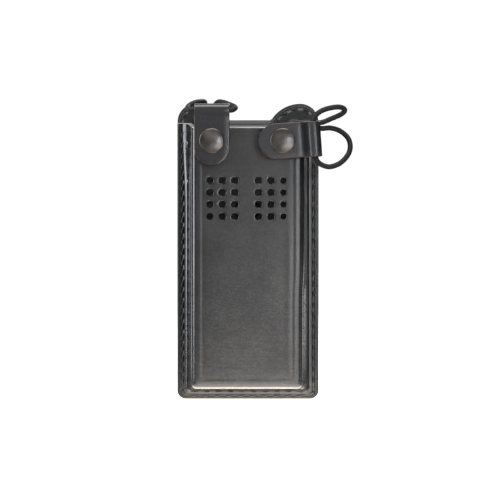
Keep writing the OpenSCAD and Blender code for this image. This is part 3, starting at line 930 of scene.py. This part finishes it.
def strap(name, points, width_axis, half, end_r, step, thickness, round_r, material):
    """A leather strap along a line of points, with rounded edges and with corners of end_r at its ends."""
    stops = cosine_stops(sum((b - a).length for a, b in zip(points, points[1:])), end_r, step)
    path = resample(points, stops)
    verts, edge = [], []
    section = []
    for corner in range(4):
        for step in range(4):
            section.append((corner, math.radians(90 * corner + 30 * step)))
        if corner in (0, 2):
            section += [("flat", corner, share) for share in (0.66, 0.33, 0.0, -0.33, -0.66)]
    per = len(section)
    for i, (point, half_here) in enumerate(zip(path, round_end_widths(stops, half, end_r))):
        tangent = (path[min(i + 1, len(path) - 1)] - path[max(i - 1, 0)]).normalized()
        normal = tangent.cross(width_axis).normalized()
        r = min(round_r, half_here * 0.9, thickness / 2 * 0.95)
        for item in section:
            if item[0] == "flat":
                sign = 1 if item[1] == 0 else -1
                w = (half_here - r) * item[2] * sign
                n = thickness / 2 * sign
                verts.append(point + width_axis * w + normal * n)
                edge.append(0.0)
                continue
            corner, a = item
            sx = 1 if corner in (0, 3) else -1
            sn = 1 if corner in (0, 1) else -1
            w = sx * (half_here - r) + r * math.cos(a)
            n = sn * (thickness / 2 - r) + r * math.sin(a)
            verts.append(point + width_axis * w + normal * n)
            edge.append(1.0 if abs(math.cos(a)) > 0.6 else 0.3)
    faces = ring_faces(len(path), per)
    faces.append(list(range(per))[::-1])
    faces.append([(len(path) - 1) * per + j for j in range(per)])
    piece = mesh_piece(name, verts, faces, material, 50)
    store(piece, "edge", edge)
    return piece


def round_end_widths(lengths, half, r):
    """Half width along a strap whose ends are cut to a round."""
    widths = []
    for s in lengths:
        near = min(s, lengths[-1] - s)
        if near < r:
            widths.append(max(half - r + math.sqrt(max(r * r - (r - near) ** 2, 0)), 0.25 * MM))
        else:
            widths.append(half)
    return widths


def cosine_stops(total, ends, middle_step):
    """Distances along a strap, close together at its round ends."""
    stops = [ends * (1 - math.cos(math.radians(a))) for a in range(0, 90, 6)]
    steps = max(2, int((total - 2 * ends) / middle_step))
    middle = [ends + (total - 2 * ends) * i / steps for i in range(steps + 1)]
    return stops + middle + [total - s for s in stops[::-1]]


def resample(points, stops):
    """Points at the given distances along a polyline."""
    lengths = [0.0]
    for a, b in zip(points, points[1:]):
        lengths.append(lengths[-1] + (b - a).length)
    result, k = [], 0
    for s in stops:
        while k < len(points) - 2 and lengths[k + 1] < s:
            k += 1
        span = lengths[k + 1] - lengths[k]
        result.append(points[k].lerp(points[k + 1], (s - lengths[k]) / span if span else 0))
    return result


def folded_strip(tip, bend_at, reach, bend):
    """Centre line of a strip doubled round the cord, from one tip over the fold to the other.

    Flat coordinates: forward of the middle plane, and along from the snap towards the fold."""
    half_t = TAB_LAYER / 2
    turn_r = CORD_R + 0.12 * MM + half_t
    fold_u = bend_at + reach

    def bent(forward, along):
        """A point of the straight strip, moved to where the bend takes it."""
        if along <= bend_at:
            return forward, along
        ease = min((along - bend_at) / (4 * MM), 1)
        angle = bend * ease
        over = along - bend_at
        return (forward * math.cos(angle) - over * math.sin(angle),
                bend_at + over * math.cos(angle) + forward * math.sin(angle))

    side = []
    for i in range(61):
        u = -tip + (fold_u + tip) * i / 60
        gap = fold_u - u
        swell = max(0.0, 1 - gap / (4.2 * MM))
        offset = half_t + (turn_r - half_t) * (3 * swell ** 2 - 2 * swell ** 3)
        side.append((offset, u))
    crown = [(turn_r * math.cos(math.radians(a)), fold_u + turn_r * math.sin(math.radians(a)))
             for a in range(10, 180, 10)]
    back = [(-offset, u) for offset, u in side[::-1]]
    return [bent(f, u) for f, u in side + crown + back]


def build_tab(side_name):
    """A snap tab, laid out along the line from its snap to its fold."""
    snap = box_centre(side_name + "_snap_cap")
    snap.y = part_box(side_name + "_snap_socket")[0].y - TAB_LAYER
    joint = next(j for j in frame["joints"] if j["name"] == side_name + "_tab_swing")
    fold = Vector(joint["pos_m"])
    width_axis = Vector(joint["axis"]).normalized()
    along_axis = Vector((fold.x - snap.x, 0, fold.z - snap.z)).normalized()
    bend_at = 8.5 * MM
    back = fold.y - snap.y
    run = (fold - snap).dot(along_axis) - bend_at
    flat = folded_strip(13.5 * MM, bend_at, math.hypot(back, run), math.atan2(back, run))
    points = [snap + along_axis * u + Vector((0, -f, 0)) for f, u in flat]
    piece = strap(side_name + "_tab_leather", points, width_axis, TAB_HALF, TAB_HALF, 0.8 * MM,
                  TAB_LAYER * 0.985, 0.45 * MM, TAB)
    stand_for(piece, side_name + "_tab", side_name + "_tab")


def build_belt_loop():
    """The doubled strap the belt passes through, stitched shut over its spacer."""
    thick = 3.0 * MM
    depth = loop_high.y - loop_low.y
    turn_r = depth / 2 - thick / 2
    top = loop_high.z - depth / 2
    mid_y = (loop_high.y + loop_low.y) / 2
    points = [Vector((0, mid_y + turn_r, loop_low.z + (top - loop_low.z) * i / 30)) for i in range(31)]
    for a in (math.radians(degrees) for degrees in range(10, 180, 10)):
        points.append(Vector((0, mid_y + turn_r * math.cos(a), top + turn_r * math.sin(a))))
    points += [Vector((0, mid_y - turn_r, p.z)) for p in points[30::-1]]
    piece = strap("belt_loop_leather", points, Vector((1, 0, 0)), loop_high.x, 4 * MM, 1.2 * MM,
                  thick * 0.99, 0.7 * MM, PANEL)
    centre = Vector((0, loop_low.y + thick + 2 * MM, box_centre("swivel_bushing").z))
    cut(piece, plug(centre, 5.5 * MM, thick + 4 * MM, 40))
    stand_for(piece, "belt_loop", "belt_loop")


# ---------- cord ----------

def build_cord(name, points):
    """Elastic cord with its braided sheath shaped in the mesh."""
    step = 0.45 * MM
    path = smooth_path(points, step)
    pitch = 4.2 * MM
    strands = 8

    def weave(i, a):
        """Height of the braid, from 0 between its strands to 1 on top of one."""
        phase = 2 * math.pi * i * step / pitch
        one = math.sin(strands / 2 * (a + phase))
        two = math.sin(strands / 2 * (a - phase))
        return max(abs(one), abs(two))

    def radius(i, a):
        """Radius of the sheath, lower between the strands of the braid."""
        return CORD_R - 0.11 * MM * (1 - weave(i, a)) ** 1.2 - 0.01 * MM

    around = 24
    verts, faces = tube(path, radius, around)
    piece = mesh_piece(name, verts, faces, CORD, 80)
    # the braid value feeds the sheath's painted shade between strands
    store(piece, "braid", [weave(i, 2 * math.pi * j / around)
                           for i in range(len(path)) for j in range(around)])
    return piece


def build_cords():
    """Each cord leaves its eyelet, runs along the tab's fold and comes back."""
    end_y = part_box("left_cord")[1].y
    folds = {j["child"]: j for j in frame["joints"]}
    left = Vector(folds["left_tab"]["pos_m"])
    right = Vector(folds["right_tab"]["pos_m"])
    fold_axis = Vector(folds["right_tab"]["axis"]).normalized()

    def run(*points):
        """Points of the case from (x, depth, height) in millimetres."""
        return [row_point(x * MM, depth * MM, height * MM) for x, depth, height in points]

    def entry(hole, x):
        """Straight stretch of cord from behind the panel out through the eyelet."""
        ahead = [BACK_Y - d * MM for d in (0, 6, 11)]
        return [Vector((hole.x + x * MM, y, hole.z)) for y in [end_y] + ahead]

    hole = box_centre("left_eyelet")
    path = entry(hole, -1.6)
    path += run((-26.6, 20, 164.2), (-24.4, 29, 170.0), (-27.2, 36, 170.1), (-30.8, 42, 168.6),
                (-33.3, 46.6, 166.4), (-33.0, 50.2, 164.6))
    path += [left + Vector((x, 0, 0)) * MM for x in (-9.7, -4.8, 0, 4.8, 9.7)]
    path += run((-8.3, 50.5, 164.4), (-7.0, 47.4, 166.0), (-10.6, 43.4, 168.0), (-14.2, 38, 169.6),
                (-17.6, 30, 169.8), (-22.2, 20, 164.2))
    path += entry(hole, 1.6)[::-1]
    stand_for(build_cord("left_elastic_cord", path), "case", "left_cord")

    # the right cord makes a high loop, passes down the fold and comes back through a low loop
    hole = box_centre("right_eyelet")
    path = entry(hole, 1.6)
    path += run((27.4, 30, 158.1), (30.6, 37.6, 158.1), (36.0, 38.6, 158.0), (41.6, 38.4, 158.2),
                (47.2, 38.6, 160.4), (52.6, 39.4, 162.8), (54.4, 40.8, 165.0), (52.0, 42.8, 166.4),
                (47.4, 44.6, 166.1), (42.0, 46.0, 164.5), (38.2, 46.8, 161.9))
    path += [right + fold_axis * (w * MM) for w in (10.4, 9.4, 5, 0, -5, -9.4, -10.4)]
    path += run((38.9, 47.0, 135.8), (41.6, 46.7, 133.8), (46.0, 46.0, 132.9), (51.6, 44.6, 135.0),
                (56.0, 42.4, 139.6), (57.5, 40.4, 144.4), (56.3, 38.6, 149.4), (52.0, 37.4, 153.4),
                (46.6, 37.4, 155.1), (41.4, 38.6, 154.8), (37.6, 40.6, 155.7), (34.0, 42.3, 157.3),
                (28.5, 42.3, 157.4), (24.8, 34, 157.7), (25.2, 20, 157.9))
    path += entry(hole, -1.6)[::-1]
    stand_for(build_cord("right_elastic_cord", path), "case", "right_cord")


# ---------- snaps ----------

def build_snap_cap(side_name):
    """Rolled-edge dome of the snap, with its post as the CAD has it."""
    low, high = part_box(side_name + "_snap_cap")
    r = (high.x - low.x) / 2
    centre = box_centre(side_name + "_snap_cap")
    centre.y = low.y + 2.2 * MM
    post_r, post_len = 1.6 * MM, high.y - centre.y
    rolled = ((1.2, -0.15), (0.4, -0.05), (0.06, 0.2), (0, 0.5), (0.08, 0.8), (0.35, 1.05), (0.75, 1.2))
    profile = [(0, -post_len), (post_r, -post_len), (post_r, -0.15 * MM)]
    profile += [(r - inset * MM, along * MM) for inset, along in rolled]
    dome_r = r - 0.75 * MM
    for i in range(1, 15):
        a = 1 - i / 14
        profile.append((dome_r * a, 1.2 * MM + 0.95 * MM * (1 - a ** 2.2)))
    verts, faces = lathe(profile, centre, steps=72)
    cap = mesh_piece(side_name + "_snap_dome", verts, faces, SNAP, 60)
    stand_for(cap, side_name + "_tab", side_name + "_snap_cap")


# ---------- build everything ----------

build_sheets()
for side_name, side in SIDES:
    build_ear_patch(side_name, side)
build_shell()
build_thread()
build_belt_loop()
build_cords()
for side_name, _ in SIDES:
    build_tab(side_name)
    build_snap_cap(side_name)

carried_over = {
    "belt_loop_spacer": PANEL, "swivel_washer": LINING,
    "swivel_burr": BLACK_OXIDE_AND_SHADE, "left_stud_rivet": BLACK_OXIDE_AND_SHADE, "right_stud_rivet": BLACK_OXIDE_AND_SHADE,
    "left_cord_clamp": NICKEL, "right_cord_clamp": NICKEL,
    "swivel_post": NICKEL, "swivel_bushing": NICKEL,
}
for name, cad_object in frame["nodes"].items():
    if not cad_object.hide_render:
        cad_object.data.materials.clear()
        cad_object.data.materials.append(carried_over.get(name, SNAP))

# ---------- floor, light and camera ----------

STAGE_CENTRE = (cad_low + cad_high) / 2


def build_floor():
    """Pale studio floor, white to the camera. For other rays it is a painted glow: dark straight behind
    the case, and a painted warm strip of light just in front of the case, which is seen in reflections and
    lights the case."""
    material = bpy.data.materials.new("pale_floor")
    n = Nodes(material)
    grain = n.mix(n.noise(3, 2), (0.82, 0.82, 0.82), (0.86, 0.86, 0.86))
    n.set(Base_Color=grain, Roughness=0.7, Emission_Color=(1, 1, 1, 1), Emission_Strength=0.8)
    side, ahead = n.math("ABSOLUTE", n.axis("X")), n.axis("Y")
    slope = n.math("DIVIDE", side, ahead)
    beside = n.math("MULTIPLY", n.span(slope, 0.32, 0.42, 0.012, 1.0), n.span(slope, 0.8, 1.0, 1.0, 0.2))
    far = n.span(ahead, 0.06, 0.3, 0.3, 1.8)
    near = n.span(ahead, -1.6, -0.15, 0.15, 0.8)
    before = n.span(ahead, 0.0, 0.06, 1.0, 0.0)
    # painted light: a warm pool glowing strongly on the floor just in front of the case
    pool = n.math("MULTIPLY", n.span(ahead, -0.13, -0.10, 0.0, 1.0),
                  n.span(ahead, -0.014, 0.004, 1.0, 0.0))
    pool = n.math("MULTIPLY", pool, n.span(side, 0.034, 0.048, 1.0, 0.0))
    glow = n.add("ShaderNodeEmission")
    behind = n.math("MULTIPLY", far, n.span(ahead, -0.01, 0.05, 0.0, 1.0))
    around = n.math("MAXIMUM", n.math("MULTIPLY", beside, behind),
                    n.math("MULTIPLY", near, before))
    n.link(n.math("ADD", around, n.math("MULTIPLY", pool, 5.0)), glow.inputs["Strength"])
    n.link(n.mix(pool, (1, 1, 1), (1, 0.93, 0.84)), glow.inputs["Color"])
    path = n.add("ShaderNodeLightPath")
    choose = n.add("ShaderNodeMixShader")
    n.link(path.outputs["Is Camera Ray"], choose.inputs[0])
    n.link(glow.outputs[0], choose.inputs[1])
    n.link(n.shader.outputs[0], choose.inputs[2])
    n.link(choose.outputs[0], n.tree.nodes["Material Output"].inputs["Surface"])
    size = 6
    z = cad_low.z - 0.2 * MM
    mesh = bpy.data.meshes.new("floor")
    corners = [(-size, -size, z), (size, -size, z), (size, size, z), (-size, size, z)]
    mesh.from_pydata(corners, [], [(0, 1, 2, 3)])
    mesh.materials.append(material)
    add_object("floor", mesh)


def area_light(name, place, size, power, colour=(1, 1, 1)):
    """A soft box aimed at the object."""
    data = bpy.data.lights.new(name, "AREA")
    data.shape = "RECTANGLE"
    data.size, data.size_y = size
    data.energy = power
    data.color = colour
    light = add_object(name, data)
    light.location = STAGE_CENTRE + Vector(place)
    light.rotation_mode = "QUATERNION"
    light.rotation_quaternion = (-Vector(place)).to_track_quat("-Z", "Y")
    light.visible_camera = False


def build_world():
    """White to the camera. In reflections: a pale sky, a bright panel behind at the left, a soft
    glow around the camera, and dark elsewhere."""
    world = bpy.data.worlds.new("studio")
    bpy.context.scene.world = world
    n = Nodes(world, "Background", "Generated")
    behind = n.math("MULTIPLY", n.span(n.axis("Y"), 0.76, 0.82, 0.0, 1.3),
                    n.span(n.axis("Y"), 0.925, 0.945, 1.0, 0.0))
    left_panel = n.math("MULTIPLY", behind, n.span(n.axis("X"), 0.0, 0.2, 1.0, 0.05))
    sky = n.span(n.axis("Z"), 0.2, 0.8, 0.012, 0.55)
    camera_glow = n.span(n.axis("Y"), -0.93, -0.75, 0.5, 0.0)
    reflected = n.math("MAXIMUM", n.math("MAXIMUM", sky, left_panel), camera_glow)
    choose = n.add("ShaderNodeMix", data_type="FLOAT")
    n.link(n.add("ShaderNodeLightPath").outputs["Is Camera Ray"], choose.inputs["Factor"])
    n.link(reflected, choose.inputs["A"])
    n.link(1.05, choose.inputs["B"])
    n.set(Strength=choose.outputs["Result"], Color=(1, 1, 1, 1))


def build_camera():
    """Level with the middle of the pocket, looking straight at the face."""
    to_flange = 1.05
    frame_width = 0.29
    sensor = 36.0
    data = bpy.data.cameras.new("camera")
    data.sensor_width = sensor
    data.lens = sensor * to_flange / frame_width
    camera = add_object("camera", data)
    camera.location = row_point(1.2 * MM, WALL_D, 86.4 * MM) + Vector((0, -to_flange, 0))
    camera.rotation_euler = (math.radians(90), 0, 0)
    bpy.context.scene.camera = camera


build_floor()
build_world()
area_light("top_box", (0, -0.2, 0.75), (0.6, 0.4), 6, (1, 0.98, 0.96))
area_light("left_box", (-0.8, -0.12, 0.15), (0.4, 0.8), 9, (0.90, 0.94, 1))
area_light("right_front_box", (0.40, -1.05, 0.13), (0.11, 0.18), 3.2, (0.84, 0.9, 1))
area_light("low_box", (0.16, -0.45, -0.06), (0.25, 0.05), 0.6, (1, 0.94, 0.88))
area_light("front_box", (-0.1, -1.3, 0.5), (1.0, 0.6), 1.2)
area_light("rear_box", (0.4, 0.9, 0.7), (0.6, 0.6), 8)
build_camera()
bpy.context.scene.view_settings.view_transform = "Standard"
